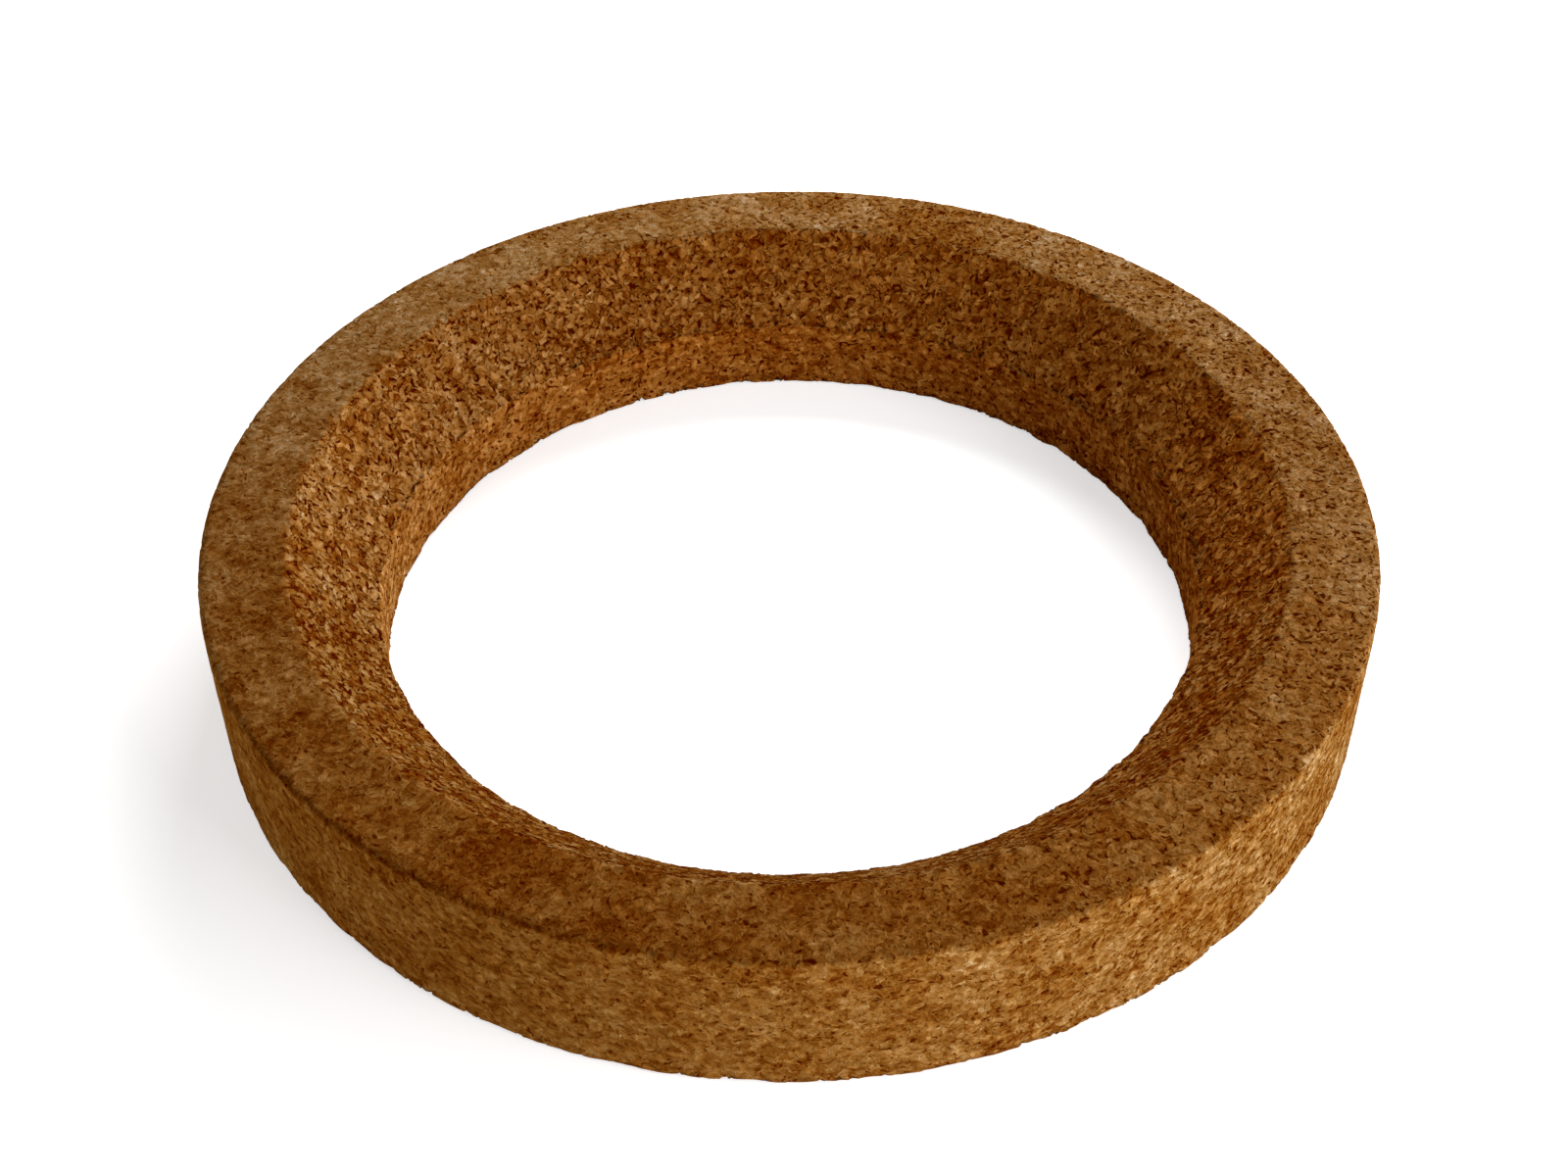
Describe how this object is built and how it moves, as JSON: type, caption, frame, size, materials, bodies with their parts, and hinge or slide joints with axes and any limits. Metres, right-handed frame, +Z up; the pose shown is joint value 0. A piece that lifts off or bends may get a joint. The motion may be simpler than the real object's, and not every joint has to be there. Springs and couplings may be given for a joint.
{
  "type": "cork ring",
  "caption": "Thick ring of agglomerated cork with a flat base, a sloping conical seat and an open straight bore, on which a round-bottomed laboratory flask stands upright.",
  "frame": {"origin": "centre of the ring at its flat base, on the surface that it stands on", "axes": "+Z up along the ring's axis, through the bore and out of the flask seat; X and Y lie in the base"},
  "size_m": [0.2, 0.2, 0.028],
  "materials": {
    "cork": "agglomerated cork, matt, lightly sanded, with dark pores between the granules"
  },
  "bodies": {
    "root": {"cork_ring": "cork"}
  },
  "joints": []
}
